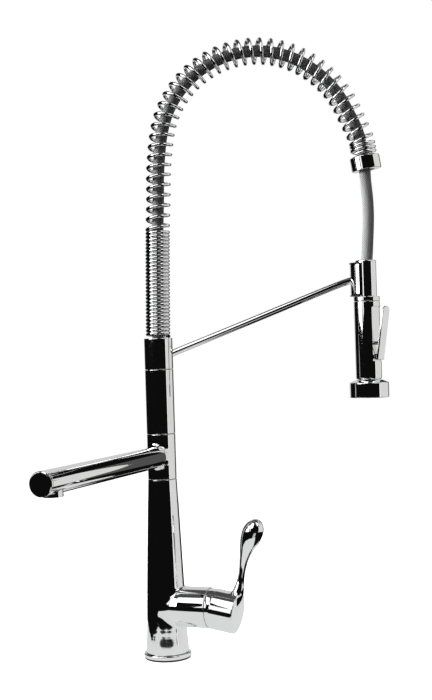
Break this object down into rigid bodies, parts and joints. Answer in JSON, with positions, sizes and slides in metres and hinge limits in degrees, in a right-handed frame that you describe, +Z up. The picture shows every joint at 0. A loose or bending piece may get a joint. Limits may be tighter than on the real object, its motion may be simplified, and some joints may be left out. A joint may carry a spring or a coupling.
{
  "type": "spring-arch kitchen faucet",
  "caption": "Deck-mounted mixer faucet with a side lever, a swivelling filler spout, and a spray head on a hose carried over an arch by a coil spring.",
  "frame": {"origin": "centre of the underside of the base, on the deck", "axes": "+Z up along the column, +X along the valve boss to the handle, -Y towards the user and along the filler spout at rest"},
  "size_m": [0.255, 0.3586, 0.6486],
  "materials": {
    "chrome": "polished",
    "brass": "turned",
    "steel": "satin",
    "rubber": "matt",
    "black_plastic": "matt",
    "white_plastic": "matt",
    "braided_hose": "braided"
  },
  "bodies": {
    "root": {"base_flange": "chrome", "deck_gasket": "rubber", "hot_inlet": "brass", "cold_inlet": "brass", "faucet_body": "chrome", "cartridge": "white_plastic", "cartridge_nut": "brass", "boss_dome": "chrome", "swivel_core": "brass", "spout_seal_lower": "rubber", "spout_seal_upper": "rubber", "lower_slip_washer": "white_plastic", "middle_slip_washer": "white_plastic", "upper_slip_washer": "white_plastic", "mid_sleeve": "chrome"},
    "spout": {"spout": "chrome", "spout_end_cap": "chrome", "outlet_housing": "chrome", "aerator_insert": "white_plastic", "aerator_washer": "rubber"},
    "arm": {"arm_collar": "chrome", "arm_rod": "chrome", "holder_clip": "chrome", "clip_liner": "black_plastic", "arch_spring": "chrome", "spring_nut": "chrome", "arch_hose": "braided_hose", "hose_swivel_fitting": "brass"},
    "head": {"drop_hose": "braided_hose", "head_neck": "chrome", "neck_ring": "chrome", "hose_ferrule": "steel", "check_valve": "white_plastic", "head_body": "chrome", "valve_core": "black_plastic", "lever_pin": "steel", "plunger_spring": "steel", "nozzle_ring": "chrome", "spray_face": "rubber"},
    "spray_lever": {"squeeze_lever": "chrome"},
    "plunger": {"valve_plunger": "steel"},
    "stem": {"stem_yoke": "black_plastic"},
    "handle": {"lever_handle": "chrome", "valve_stem": "brass", "set_screw": "steel"}
  },
  "joints": [
    {"name": "spout_swivel", "type": "hinge", "parent": "root", "child": "spout", "pos_m": [0, 0, 0.2113], "axis": [0, 0, 1], "continuous": true},
    {"name": "arm_swivel", "type": "hinge", "parent": "root", "child": "arm", "pos_m": [0, 0, 0.319], "axis": [0, 0, 1], "continuous": true},
    {"name": "head_pull", "type": "slide", "parent": "arm", "child": "head", "axis": [0, 0, -1], "range_m": [0, 0.15], "stiffness_N_per_m": 40, "springref_m": -0.15, "deforming": ["drop_hose"]},
    {"name": "lever_squeeze", "type": "hinge", "parent": "head", "child": "spray_lever", "pos_m": [0.21651, 0.07644, 0.3095], "axis": [-0.2453, -0.9694, 0], "range_deg": [0, 7], "stiffness_Nm_per_rad": 0.6, "springref_deg": -17.19},
    {"name": "plunger_press", "type": "slide", "parent": "head", "child": "plunger", "axis": [-0.9694, 0.2453, 0], "range_m": [0, 0.0016], "deforming": ["plunger_spring"]},
    {"name": "temperature_turn", "type": "hinge", "parent": "root", "child": "stem", "pos_m": [0.0503, 0, 0.0538], "axis": [1, 0, 0], "range_deg": [-50, 50]},
    {"name": "flow_tilt", "type": "hinge", "parent": "stem", "child": "handle", "pos_m": [0.0503, 0, 0.0538], "axis": [0, -1, 0], "range_deg": [0, 21]}
  ],
  "couplings": [
    {"joint": "plunger_press", "follows": "lever_squeeze", "m_per_rad": 0.0126}
  ]
}
